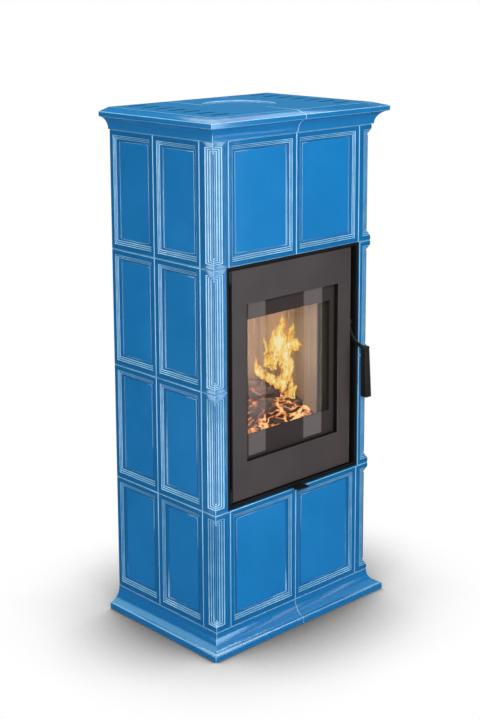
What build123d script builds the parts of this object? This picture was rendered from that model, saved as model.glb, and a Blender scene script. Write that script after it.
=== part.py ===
"""Free-standing wood stove clad in glazed relief tiles, modelled piece by piece.

Millimetres, +Z up, front towards -Y. The origin is on the floor, under the middle of
the tiled body, so the body's faces lie at equal distances from it.
"""

import os
from math import sqrt

from build123d import *

os.makedirs("parts", exist_ok=True)

# ------------------------------------------------------------------ driving sizes
body_width = 472.0  # tiled body, left face to right face
body_depth = 330.0  # front tile face to the back edge
row_height = 260.0  # one course of tiles with its joint
row_count = 4
door_rows = (2, 3)  # courses that the fire door interrupts, counted from the floor
joint = 0.5  # grout line between two glazed pieces
seat_gap = 0.3  # two pieces that lie against each other

# Glazed tiles
tile_thick = 22.0
tile_border = 10.0
tile_edge_round = 2.0
reed_count = 4
reed_pitch = 3.6
reed_drop = 2.0
corner_leg = 41.0
corner_leg_at_door = 35.5
corner_reed_reach = 27.0
corner_reed_count = 4
corner_reed_pitch = 4.8
corner_reed_drop = 2.0

# Plinth and cornice mouldings
plinth_height = 49.0
plinth_overhang = 26.0
plinth_band = 11.5
plinth_cove_radius = 32.0
plinth_cove_run = 24.0
cornice_overhang = 28.0
cornice_step = 3.5
cornice_cove_radius = 30.0
cornice_cove_run = 24.0
cornice_band = 10.4
plateau_height = 48.0  # from the top course to the highest face
slab_thick = 22.0
plateau_round = 2.5

# Openings in the top
slot_count = 7
slot_length = 48.0
slot_width = 9.0
slot_corner = 2.9  # cut off each corner of a slot
slot_pitch = 43.5
slot_inset = 57.0  # side face to the middle of a slot
slot_row_shift = 6.0  # middle of a row of slots behind the body's middle
cover_radius = 79.5
cover_gap = 0.8
cover_thick = 20.0
cover_shift = 9.0  # flue cover's centre behind the body's middle
insert_half_width = 73.5

# Inner steelwork
casing_wall = 2.0
rear_panel_wall = 1.7
return_flange = 16.0
base_wall = 3.0
base_floor = 30.0
post_leg = 30.0
firebox_wall = 4.0
firebox_half_width = 155.0
firebox_back = 110.0
firebox_headroom = 40.0  # firebox roof under the upper edge of the top course
hearth_rise = 49.0  # ash compartment's floor to the hearth shelf
flue_radius = 75.0
flue_wall = 2.0
flue_reach = 46.0  # free end of the collar, behind the rear edge
flue_shoulder = 2.0
flue_clear = 1.0
flue_drop = 150.0  # upper edge of the top course down to the flue's middle
flue_flange = 14.0
flue_flange_thick = 3.0

# Fire door and its frame
frame_setback = 2.5
frame_wall = 6.5
frame_depth = 38.5
frame_side_joint = 1.5
lever_gap = 3.5  # under the frame, where the air lever passes
ledge_thick = 4.7
ledge_side = 34.0
ledge_top = 30.0
ledge_bottom = 13.0
leaf_setback = 6.7
leaf_plate = 6.0
leaf_depth = 25.3
leaf_rim = 16.0
leaf_side_gap = 12.0
leaf_bottom_gap = 1.5
leaf_top_gap = 2.0
leaf_edge_round = 1.5
window_stile = 41.5
window_bottom_rail = 81.5
window_top_rail = 76.5
window_rim = 14.0
window_reveal = 12.3
glass_thick = 4.0
glass_lap = 14.0
rope_radius = 4.0
rope_groove = 4.3
rope_corner = 12.0
rope_facets = 8
pin_radius = 3.0
pin_clearance = 0.05
pin_inset = 4.5  # leaf edge to the hinge axis
pin_setback = 9.5  # tile face to the hinge axis
knuckle_radius = 4.5
knuckle_height = 24.5
pin_reach = 32.0

# Handle
lever_thick = 5.0
lever_clear = 2.0
lever_sweep = 50.0
lever_bar = 8.0
pivot_drop = 174.0  # door leaf's top edge down to the pivot
pivot_setback = 18.0
pivot_boss = 8.0
pivot_radius = 4.0
pivot_head_radius = 7.0
pivot_head_thick = 2.2
grip_top = 15.0
grip_bottom = 18.0
grip_length = 107.0
grip_lean = 4.0
tang_radius = 3.0
tang_length = 22.0

# Lining
brick_thick = 25.0
brick_height = 357.0
flute_radius = 3.5
flute_pitch = 22.0
grate_size = (156.0, 126.0)
grate_thick = 10.0
grate_gap = 8.0
grate_gap_count = 8
grate_rim = 12.0
baffle_smoke_gap = 40.0

# ------------------------------------------------------------------ derived places
half_width = body_width / 2
front = -body_depth / 2
back = body_depth / 2
rows_bottom = plinth_height
rows_top = plinth_height + row_count * row_height
total_height = rows_top + plateau_height
slab_under = total_height - slab_thick
inner_half = half_width - tile_thick  # plane of the tiles' backs
inner_front = front + tile_thick

frame_front = front + frame_setback
frame_half = half_width - corner_leg_at_door - frame_side_joint
frame_bottom = rows_bottom + (door_rows[0] - 1) * row_height + lever_gap
frame_top = rows_bottom + door_rows[-1] * row_height - joint
frame_rear = frame_front + frame_depth
ledge_front = frame_rear - ledge_thick
opening_half = frame_half - frame_wall
opening_bottom = frame_bottom + frame_wall
opening_top = frame_top - frame_wall

leaf_front = front + leaf_setback
leaf_rear = leaf_front + leaf_depth
leaf_half = opening_half - leaf_side_gap
leaf_bottom = opening_bottom + leaf_bottom_gap
leaf_top = opening_top - leaf_top_gap
window_half = leaf_half - window_stile
window_bottom = leaf_bottom + window_bottom_rail
window_top = leaf_top - window_top_rail
glass_front = leaf_front + window_reveal + seat_gap
glass_rear = glass_front + glass_thick
hinge_x = -leaf_half - pin_inset
hinge_y = front + pin_setback
pivot_height = leaf_top - pivot_drop

plate_front = frame_rear + seat_gap  # firebox front plate
plate_rear = plate_front + firebox_wall
chamber_floor = opening_bottom + ledge_bottom - firebox_wall
hearth = chamber_floor + hearth_rise
chamber_top = rows_top - firebox_headroom
firebox_height = chamber_top - chamber_floor
flue_height = rows_top - flue_drop
inner_side = firebox_half_width - firebox_wall
inner_back = firebox_back - firebox_wall
brick_face = inner_side - seat_gap - brick_thick - 1.2  # inner face of a side brick
brick_bottom = hearth + firebox_wall + seat_gap
brick_top = brick_bottom + brick_height


def write(piece, label):
    """Labels a finished piece and writes it under its own name."""
    piece.label = label
    export_step(piece, f"parts/{label}.step")


# ------------------------------------------------------------------ glazed field tiles
def face_plane(side, along, height):
    """Plane on the outside of the body; side is front, left or right."""
    if side == "front":
        return Plane(origin=(along, front, height), x_dir=(1, 0, 0), z_dir=(0, -1, 0))
    sign = -1 if side == "left" else 1
    return Plane(origin=(sign * half_width, along, height), x_dir=(0, sign, 0), z_dir=(sign, 0, 0))


def field_tile(label, face, width, height):
    """Tile with a flat border and a reeded moulding that steps down to a sunk panel."""
    with BuildPart() as tile:
        with BuildSketch(face):
            Rectangle(width, height)
        extrude(amount=-tile_thick)
        glazed_face = tile.faces().sort_by_distance(face.origin)[0]
        chamfer(glazed_face.edges(), tile_edge_round)
        for reed in range(reed_count):
            inset = tile_border + reed * reed_pitch
            with BuildSketch(face.offset(-reed * reed_drop)):
                Rectangle(width - 2 * inset, height - 2 * inset)
            extrude(amount=-reed_drop, mode=Mode.SUBTRACT)
    write(tile.part, label)


def row_middle(row):
    return rows_bottom + (row - 0.5) * row_height


tile_height = row_height - joint
side_run = body_depth - corner_leg
side_tile_width = side_run / 2 - joint
side_tile_places = {
    "front": front + corner_leg + side_run / 4,
    "rear": front + corner_leg + side_run * 3 / 4,
}
front_run = body_width - 2 * corner_leg
front_tile_width = front_run / 2 - joint

for row in range(1, row_count + 1):
    for side in ("left", "right"):
        for place, along in side_tile_places.items():
            field_tile(f"side_tile_{side}_{place}_row{row}",
                       face_plane(side, along, row_middle(row)), side_tile_width, tile_height)
    if row not in door_rows:
        for side, sign in (("left", -1), ("right", 1)):
            field_tile(f"front_tile_{side}_row{row}",
                       face_plane("front", sign * front_run / 4, row_middle(row)),
                       front_tile_width, tile_height)


# ------------------------------------------------------------------ glazed corner tiles
def corner_outline(sign, front_leg, side_leg, depth):
    """L-shaped outline round a front corner; sign is -1 at the left and 1 at the right."""
    outer = ((0, side_leg), (0, 0), (front_leg, 0))
    ells = (*outer, (front_leg, depth), (depth, depth), (depth, side_leg))
    return [(sign * (half_width - across), front + deep) for across, deep in ells]


def corner_tile(label, sign, row, front_leg):
    """Corner tile whose reeds step in round the arris and close in nested angles."""
    bottom = row_middle(row) - tile_height / 2
    with BuildPart() as tile:
        with BuildSketch(Plane.XY.offset(bottom)):
            with BuildLine():
                Polyline(*corner_outline(sign, front_leg, corner_leg - joint, tile_thick), close=True)
            make_face()
        extrude(amount=tile_height)
        for reed in range(corner_reed_count):
            reach = corner_reed_reach - reed * corner_reed_pitch
            inset = tile_border + reed * reed_pitch
            with BuildSketch(Plane.XY.offset(bottom + inset)):
                with BuildLine():
                    Polyline(*corner_outline(sign, reach, reach, (reed + 1) * corner_reed_drop), close=True)
                make_face()
            extrude(amount=tile_height - 2 * inset, mode=Mode.SUBTRACT)
    write(tile.part, label)


for row in range(1, row_count + 1):
    front_leg = corner_leg_at_door if row in door_rows else corner_leg - joint
    for side, sign in (("left", -1), ("right", 1)):
        corner_tile(f"corner_tile_{side}_row{row}", sign, row, front_leg)


# ------------------------------------------------------------------ glazed plinth
plinth_cove_drop = sqrt(plinth_cove_radius**2 - (plinth_cove_radius - plinth_cove_run) ** 2)
plinth_top = plinth_height - seat_gap


def plinth_outline(face, outward, far):
    """Plinth section, closed: upright band, rounded nose and a hollow cove up to the tiles."""
    nose = face + outward * plinth_overhang
    cove_foot = (face + outward * plinth_cove_run, plinth_top - 4.0 - plinth_cove_drop)
    cove_head = (face, plinth_top - 4.0)
    with BuildLine() as section:
        Polyline((far, plinth_top), (far, 0), (nose, 0), (nose, plinth_band), cove_foot)
        RadiusArc(cove_foot, cove_head, outward * plinth_cove_radius)
        Polyline(cove_head, (face, plinth_top), (far, plinth_top))
    return section.line


def moulded_half(sign, outline, reach, bottom, height):
    """Half of a moulded surround: the front run and the side run meet in a mitre."""
    with BuildPart() as half:
        with BuildSketch(Plane.YZ.offset(sign * joint / 2)):
            make_face(outline(front, -1, back).edges())
        extrude(amount=sign * (half_width + reach))
        with BuildSketch(Plane.XZ.offset(-back)):
            make_face(outline(sign * half_width, sign, 0).edges())
        extrude(amount=body_depth + reach, mode=Mode.INTERSECT)
        with BuildSketch(Plane.XY.offset(bottom)):
            with Locations((0, (inner_front + back) / 2)):
                Rectangle(2 * inner_half, back - inner_front)
        extrude(amount=height, mode=Mode.SUBTRACT)
    return half.part


for side, sign in (("left", -1), ("right", 1)):
    write(moulded_half(sign, plinth_outline, plinth_overhang, 0, plinth_height), f"plinth_{side}")

# ------------------------------------------------------------------ glazed cornice and top
cornice_bottom = rows_top + seat_gap
cornice_cove_rise = sqrt(cornice_cove_radius**2 - (cornice_cove_radius - cornice_cove_run) ** 2)
cornice_lip = cornice_bottom + cornice_cove_rise


def cornice_outline(face, outward, far):
    """Cornice section, closed: small step, cove, upright band and a slope up to the plateau."""
    cove_foot = (face + outward * cornice_step, cornice_bottom)
    cove_head = (face + outward * (cornice_step + cornice_cove_run), cornice_lip)
    edge = face + outward * cornice_overhang
    band_top = (edge, cornice_lip + cornice_band)
    slope_foot = (edge - outward * plateau_round, cornice_lip + cornice_band + plateau_round / 4)
    plateau = (face, total_height)
    with BuildLine() as section:
        Polyline((far, total_height), (far, cornice_bottom), cove_foot)
        RadiusArc(cove_foot, cove_head, outward * cornice_cove_radius)
        Polyline(cove_head, (edge, cornice_lip), band_top, slope_foot, plateau, (far, total_height))
    return section.line


slot_row_y = slot_row_shift
cover_y = cover_shift

for side, sign in (("left", -1), ("right", 1)):
    skirt = slab_under - cornice_bottom
    shell = moulded_half(sign, cornice_outline, cornice_overhang, cornice_bottom, skirt)
    with BuildPart() as top_half:
        add(shell)
        with BuildSketch(Plane.XY.offset(slab_under)) as openings:
            with Locations((sign * (half_width - slot_inset), slot_row_y)):
                with GridLocations(0, slot_pitch, 1, slot_count):
                    Rectangle(slot_length, slot_width)
            chamfer(openings.vertices(), slot_corner)
            with Locations((0, cover_y)):
                Circle(cover_radius + cover_gap)
            with Locations((0, (cover_y + back) / 2)):
                Rectangle(2 * (insert_half_width + joint), back - cover_y)
        extrude(amount=slab_thick, mode=Mode.SUBTRACT)
    write(top_half.part, f"top_tile_{side}")

with BuildPart() as top_insert:
    with BuildSketch(Plane.XY.offset(slab_under)):
        with Locations((0, (cover_y + back) / 2)):
            Rectangle(2 * insert_half_width, back - cover_y)
        with Locations((0, cover_y)):
            Circle(cover_radius + cover_gap, mode=Mode.SUBTRACT)
    extrude(amount=slab_thick)
write(top_insert.part, "top_rear_insert")

with BuildPart() as flue_cover:
    with BuildSketch(Plane.XY.offset(slab_under)):
        with Locations((0, cover_y)):
            Circle(cover_radius)
    extrude(amount=cover_thick)
    chamfer(flue_cover.edges().filter_by(GeomType.CIRCLE).sort_by(Axis.Z)[-1], plateau_round)
write(flue_cover.part, "flue_cover")

# ------------------------------------------------------------------ base frame and feet
base_half = inner_half - seat_gap
base_front = inner_front + seat_gap
base_length = back - base_front
base_middle = (base_front + back) / 2
base_under = 14.0
base_top = plinth_height
foot_radius = 16.0
foot_height = 7.0
stem_radius = 5.0
stem_top = 42.0
stem_hole = 5.4
shank_radius = 9.8  # six-sided, for the spanner
foot_places = (2 * (base_half - 34), base_length - 68)
post_places = (2 * (firebox_half_width - post_leg / 2), firebox_back - plate_rear - post_leg)
post_middle = (plate_rear + firebox_back) / 2
air_hole = 42.0

with BuildPart() as base_frame:
    with BuildSketch(Plane.XY.offset(base_under)):
        with Locations((0, base_middle)):
            Rectangle(2 * base_half, base_length)
            Rectangle(2 * (base_half - base_wall), base_length - 2 * base_wall, mode=Mode.SUBTRACT)
    extrude(amount=base_top - base_under)
    with BuildSketch(Plane.XY.offset(base_floor)):
        with Locations((0, base_middle)):
            Rectangle(2 * base_half - base_wall, base_length - base_wall)
            with GridLocations(*foot_places, 2, 2):
                Circle(stem_hole, mode=Mode.SUBTRACT)
        Circle(air_hole, mode=Mode.SUBTRACT)
    extrude(amount=base_wall)
    with BuildSketch(Plane.XY.offset(base_floor + base_wall)):
        for across in (-1, 1):
            for along in (-1, 1):
                heel = (across * firebox_half_width, post_middle + along * (post_places[1] + post_leg) / 2)
                inward = (heel[0] - across * post_leg, heel[1] - along * post_leg)
                step = (heel[0] - across * base_wall, heel[1] - along * base_wall)
                with BuildLine():
                    Polyline(heel, (inward[0], heel[1]), (inward[0], step[1]), step,
                             (step[0], inward[1]), (heel[0], inward[1]), close=True)
                make_face()
    extrude(amount=chamber_floor - seat_gap - base_floor - base_wall)
write(base_frame.part, "base_frame")

with BuildPart() as levelling_feet:
    with BuildSketch():
        with Locations((0, base_middle)):
            with GridLocations(*foot_places, 2, 2):
                RegularPolygon(foot_radius, 6)
    extrude(amount=foot_height)
    with BuildSketch(Plane.XY.offset(foot_height)):
        with Locations((0, base_middle)):
            with GridLocations(*foot_places, 2, 2):
                RegularPolygon(shank_radius, 6)
    extrude(amount=base_floor - seat_gap - foot_height)
    with BuildSketch(Plane.XY.offset(base_floor - seat_gap)):
        with Locations((0, base_middle)):
            with GridLocations(*foot_places, 2, 2):
                Circle(stem_radius)
    extrude(amount=stem_top - base_floor + seat_gap)
write(levelling_feet.part, "levelling_feet")

# ------------------------------------------------------------------ casing and rear panel
casing_bottom = base_top + seat_gap
casing_top = slab_under - seat_gap
casing_back = back - rear_panel_wall - seat_gap
air_zone_margin = 6.0
casing_flue_half = 66.0  # half the square hole under the flue cover

with BuildPart() as casing:
    with BuildSketch(Plane.XY.offset(casing_bottom)):
        with Locations((0, (base_front + casing_back) / 2)):
            Rectangle(2 * base_half, casing_back - base_front)
        with Locations((0, (base_front + casing_wall + casing_back) / 2)):
            Rectangle(2 * (base_half - casing_wall), casing_back - base_front - casing_wall,
                      mode=Mode.SUBTRACT)
        for sign in (-1, 1):
            with Locations((sign * (base_half - return_flange / 2), casing_back - casing_wall / 2)):
                Rectangle(return_flange, casing_wall)
    extrude(amount=casing_top - casing_bottom)
    with BuildSketch(Plane.XY.offset(casing_top - casing_wall)):
        with Locations((0, (base_front + casing_back) / 2)):
            Rectangle(2 * base_half, casing_back - base_front)
        with Locations((0, cover_y)):
            Rectangle(2 * casing_flue_half, 2 * casing_flue_half, mode=Mode.SUBTRACT)
        for sign in (-1, 1):
            with Locations((sign * (half_width - slot_inset), slot_row_y)):
                Rectangle(slot_length + 2 * air_zone_margin,
                          (slot_count - 1) * slot_pitch + slot_width + 2 * air_zone_margin,
                          mode=Mode.SUBTRACT)
    extrude(amount=casing_wall)
    with BuildSketch(Plane.XZ.offset(-base_front)):
        with Locations((0, (frame_bottom - lever_gap + frame_top + seat_gap) / 2)):
            Rectangle(2 * (frame_half + seat_gap), frame_top + seat_gap - frame_bottom + lever_gap)
    extrude(amount=-casing_wall, mode=Mode.SUBTRACT)
write(casing.part, "casing")

vent_rows = 3
vent_columns = 5
vent_length = 60.0
vent_width = 7.0
vent_pitch = (74.0, 18.0)
vent_low = 80.0
vent_high = 55.0

with BuildPart() as rear_panel:
    with BuildSketch(Plane.XZ.offset(-back)):
        with Locations((0, (casing_bottom + casing_top) / 2)):
            Rectangle(2 * base_half, casing_top - casing_bottom)
        for vent_middle in (casing_bottom + vent_low, casing_top - vent_high):
            with Locations((0, vent_middle)):
                with GridLocations(*vent_pitch, vent_columns, vent_rows):
                    Rectangle(vent_length, vent_width, mode=Mode.SUBTRACT)
        with Locations((0, flue_height)):
            Circle(flue_radius + flue_shoulder + flue_clear, mode=Mode.SUBTRACT)
    extrude(amount=rear_panel_wall)
write(rear_panel.part, "rear_panel")

# ------------------------------------------------------------------ firebox
air_slot_length = 28.0
air_slot_width = 14.0
air_slot_pitch = 60.0
air_slot_count = 3
rail_length = 190.0
rail_wall = 3.0
rail_lip = 6.0
rail_lip_thick = 2.0
fire_opening_half = brick_face
fire_opening_bottom = brick_bottom + brick_thick + 20
fire_opening_top = brick_top - 39
ash_opening_half = 105.0
ash_opening_top = hearth - 3.0
shutter_thick = 2.4
rail_gap = 0.4
shutter_front = plate_rear + 12
shutter_width = 46.0
shutter_middle = shutter_front + shutter_width / 2
rail_span = shutter_width + 2 * rail_wall
grate_lap = 8.0

with BuildPart() as firebox:
    with BuildSketch(Plane.XY.offset(chamber_floor)):
        with Locations((0, (plate_front + firebox_back) / 2)):
            Rectangle(2 * firebox_half_width, firebox_back - plate_front)
    extrude(amount=firebox_height)
    with BuildSketch(Plane.XY.offset(chamber_floor + firebox_wall)):
        with Locations((0, (plate_rear + inner_back) / 2)):
            Rectangle(2 * inner_side, inner_back - plate_rear)
    extrude(amount=firebox_height - 2 * firebox_wall, mode=Mode.SUBTRACT)
    with BuildSketch(Plane.XZ.offset(-plate_front)):
        with Locations((0, (opening_bottom + opening_top) / 2)):
            Rectangle(2 * opening_half, opening_top - opening_bottom)
    extrude(amount=-firebox_wall)
    with BuildSketch(Plane.XZ.offset(-plate_front)):
        with Locations((0, (fire_opening_bottom + fire_opening_top) / 2)):
            Rectangle(2 * fire_opening_half, fire_opening_top - fire_opening_bottom)
        with Locations((0, (chamber_floor + firebox_wall + ash_opening_top) / 2)):
            Rectangle(2 * ash_opening_half, ash_opening_top - chamber_floor - firebox_wall)
    extrude(amount=-firebox_wall, mode=Mode.SUBTRACT)
    with BuildSketch(Plane.XY.offset(hearth)):
        with Locations((0, (plate_rear + inner_back) / 2)):
            Rectangle(2 * inner_side, inner_back - plate_rear)
            Rectangle(grate_size[0] - 2 * grate_lap, grate_size[1] - 2 * grate_lap, mode=Mode.SUBTRACT)
    extrude(amount=firebox_wall)
    with BuildSketch(Plane.XY.offset(chamber_top)):
        with Locations((0, cover_y)):
            Circle(flue_radius - flue_wall)
    extrude(amount=-firebox_wall, mode=Mode.SUBTRACT)
    with BuildSketch(Plane.XZ.offset(-firebox_back)):
        with Locations((0, flue_height)):
            Circle(flue_radius - flue_wall)
    extrude(amount=firebox_wall, mode=Mode.SUBTRACT)
    with BuildSketch(Plane.XY.offset(chamber_floor)):
        with Locations((0, shutter_middle)):
            with GridLocations(0, rail_span + rail_wall, 1, 2):
                Rectangle(rail_length, rail_wall)
    extrude(amount=-shutter_thick - 2 * rail_gap)
    with BuildSketch(Plane.XY.offset(chamber_floor - shutter_thick - 2 * rail_gap)):
        with Locations((0, shutter_middle)):
            with GridLocations(0, rail_span + 2 * rail_wall - rail_lip - rail_wall, 1, 2):
                Rectangle(rail_length, rail_lip + rail_wall)
    extrude(amount=-rail_lip_thick)
    with BuildSketch(Plane.XY.offset(chamber_floor)):
        with Locations((0, shutter_middle)):
            with GridLocations(air_slot_pitch, 0, air_slot_count, 1):
                Rectangle(air_slot_length, air_slot_width)
    extrude(amount=firebox_wall, mode=Mode.SUBTRACT)
write(firebox.part, "firebox")

with BuildPart() as flue_cap:
    with BuildSketch(Plane.XY.offset(chamber_top + seat_gap)):
        with Locations((0, cover_y)):
            Circle(flue_radius + 5)
    extrude(amount=3)
    with BuildSketch(Plane.XY.offset(chamber_top + seat_gap + 3)):
        with Locations((0, cover_y)):
            RegularPolygon(8, 6)
    extrude(amount=6)
write(flue_cap.part, "flue_blanking_cap")

flue_start = firebox_back + seat_gap

with BuildPart() as flue_collar:
    with BuildSketch(Plane.XZ.offset(-flue_start)):
        with Locations((0, flue_height)):
            Circle(flue_radius + flue_flange)
    extrude(amount=-flue_flange_thick)
    with BuildSketch(Plane.XZ.offset(-flue_start)):
        with Locations((0, flue_height)):
            Circle(flue_radius + flue_shoulder)
    extrude(amount=-(back - flue_start))
    with BuildSketch(Plane.XZ.offset(-back)):
        with Locations((0, flue_height)):
            Circle(flue_radius)
    extrude(amount=-flue_reach)
    with BuildSketch(Plane.XZ.offset(-flue_start)):
        with Locations((0, flue_height)):
            Circle(flue_radius - flue_wall)
    extrude(amount=-(back + flue_reach - flue_start), mode=Mode.SUBTRACT)
write(flue_collar.part, "flue_collar")

# ------------------------------------------------------------------ lining, grate and ash pan
side_flutes = int((inner_back - brick_thick - plate_rear) // flute_pitch)
rear_flutes = int(2 * brick_face // flute_pitch)
brick_front = plate_rear + seat_gap
side_brick_rear = inner_back - seat_gap - brick_thick - seat_gap
side_brick_middle = (brick_front + side_brick_rear) / 2

for side, sign in (("left", -1), ("right", 1)):
    with BuildPart() as side_brick:
        with BuildSketch(Plane.XY.offset(brick_bottom)):
            with Locations((sign * (brick_face + brick_thick / 2), side_brick_middle)):
                Rectangle(brick_thick, side_brick_rear - brick_front)
            with Locations((sign * brick_face, side_brick_middle)):
                with GridLocations(0, flute_pitch, 1, side_flutes):
                    RegularPolygon(flute_radius, 8, mode=Mode.SUBTRACT)
        extrude(amount=brick_height)
    write(side_brick.part, f"lining_brick_{side}")

with BuildPart() as rear_brick:
    with BuildSketch(Plane.XY.offset(brick_bottom)):
        with Locations((0, side_brick_rear + seat_gap + brick_thick / 2)):
            Rectangle(2 * (brick_face + brick_thick), brick_thick)
        with Locations((0, side_brick_rear + seat_gap)):
            with GridLocations(flute_pitch, 0, rear_flutes, 1):
                RegularPolygon(flute_radius, 8, mode=Mode.SUBTRACT)
    extrude(amount=brick_height)
write(rear_brick.part, "lining_brick_rear")

floor_half = brick_face - seat_gap
floor_middle = (plate_rear + inner_back) / 2

with BuildPart() as floor_brick:
    with BuildSketch(Plane.XY.offset(brick_bottom)):
        with Locations((0, side_brick_middle)):
            Rectangle(2 * floor_half, side_brick_rear - brick_front)
        with Locations((0, floor_middle)):
            Rectangle(grate_size[0] + 4, grate_size[1] + 4, mode=Mode.SUBTRACT)
    extrude(amount=brick_thick)
    inner_rim = floor_brick.faces().sort_by(Axis.Z)[-1].inner_wires().edges()
    chamfer(inner_rim, 8)
write(floor_brick.part, "lining_floor")

with BuildPart() as baffle:
    with BuildSketch(Plane.XY.offset(brick_top + seat_gap)):
        with Locations((0, (brick_front + baffle_smoke_gap + inner_back - seat_gap) / 2)):
            Rectangle(2 * (brick_face + brick_thick), inner_back - seat_gap - brick_front - baffle_smoke_gap)
    extrude(amount=brick_thick)
write(baffle.part, "baffle")

with BuildPart() as grate:
    with BuildSketch(Plane.XY.offset(brick_bottom)):
        with Locations((0, floor_middle)):
            Rectangle(*grate_size)
            with GridLocations(2 * grate_gap, 0, grate_gap_count, 1):
                Rectangle(grate_gap, grate_size[1] - 2 * grate_rim, mode=Mode.SUBTRACT)
    extrude(amount=grate_thick)
write(grate.part, "grate")

pan_half = 98.0
pan_wall = 1.5
pan_height = 36.0
pan_bottom = chamber_floor + firebox_wall + seat_gap
pan_front = plate_front + 1
pan_lip_width = 90.0
pan_lip_reach = 9.0
pan_back = inner_back - 20

with BuildPart() as ash_pan:
    with BuildSketch(Plane.XY.offset(pan_bottom)):
        with Locations((0, (pan_front + pan_back) / 2)):
            Rectangle(2 * pan_half, pan_back - pan_front)
    extrude(amount=pan_height)
    offset(amount=-pan_wall, openings=ash_pan.faces().sort_by(Axis.Z)[-1])
    with BuildSketch(Plane.XY.offset(pan_bottom + pan_height - pan_wall)):
        with Locations((0, pan_front)):
            Rectangle(pan_lip_width, pan_lip_reach, align=(Align.CENTER, Align.MAX))
    extrude(amount=pan_wall)
write(ash_pan.part, "ash_pan")

# ------------------------------------------------------------------ door frame
frame_middle = (frame_bottom + frame_top) / 2
keeper_front = hinge_y + 7.5

with BuildPart() as door_frame:
    with BuildSketch(Plane.XZ.offset(-frame_front)):
        with Locations((0, frame_middle)):
            Rectangle(2 * frame_half, frame_top - frame_bottom)
            Rectangle(2 * opening_half, opening_top - opening_bottom, mode=Mode.SUBTRACT)
    extrude(amount=-frame_depth)
    with BuildSketch(Plane.XZ.offset(-ledge_front)):
        with Locations((0, frame_middle)):
            Rectangle(2 * opening_half, opening_top - opening_bottom)
        with Locations((0, (opening_bottom + ledge_bottom + opening_top - ledge_top) / 2)):
            Rectangle(2 * (opening_half - ledge_side),
                      opening_top - ledge_top - opening_bottom - ledge_bottom, mode=Mode.SUBTRACT)
    extrude(amount=-ledge_thick)
    with BuildSketch(Plane.XY.offset(frame_bottom)):
        with Locations((hinge_x, hinge_y)):
            Circle(pin_radius)
    extrude(amount=frame_top - frame_bottom, mode=Mode.SUBTRACT)
write(door_frame.part, "door_frame")

with BuildPart() as hinge_pins:
    for low, high in ((frame_bottom, leaf_bottom + pin_reach), (leaf_top - pin_reach, frame_top)):
        with BuildSketch(Plane.XY.offset(low)):
            with Locations((hinge_x, hinge_y)):
                Circle(pin_radius)
        extrude(amount=high - low)
    with BuildSketch(Plane.XY.offset(opening_bottom)):
        with Locations((hinge_x, hinge_y)):
            Circle(knuckle_radius)
    extrude(amount=leaf_bottom_gap - seat_gap)
write(hinge_pins.part, "hinge_pins")

# ------------------------------------------------------------------ door leaf
leaf_middle = (leaf_bottom + leaf_top) / 2
window_middle = (window_bottom + window_top) / 2
window_height = window_top - window_bottom
leaf_height = leaf_top - leaf_bottom
clip_screw_y = glass_rear
boss_radius = 5.0
boss_offset = glass_lap + 6.5  # window edge to a clip screw
boss_places = [
    (window_half + boss_offset, window_middle),
    (-window_half - boss_offset, window_middle),
    (0, window_middle + window_height / 2 + boss_offset),
    (0, window_middle - window_height / 2 - boss_offset),
]
pivot_y = front + pivot_setback
screw_radius = 2.0
screw_length = 8.0
screw_head_radius = 4.0
screw_head_thick = 2.0

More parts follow.
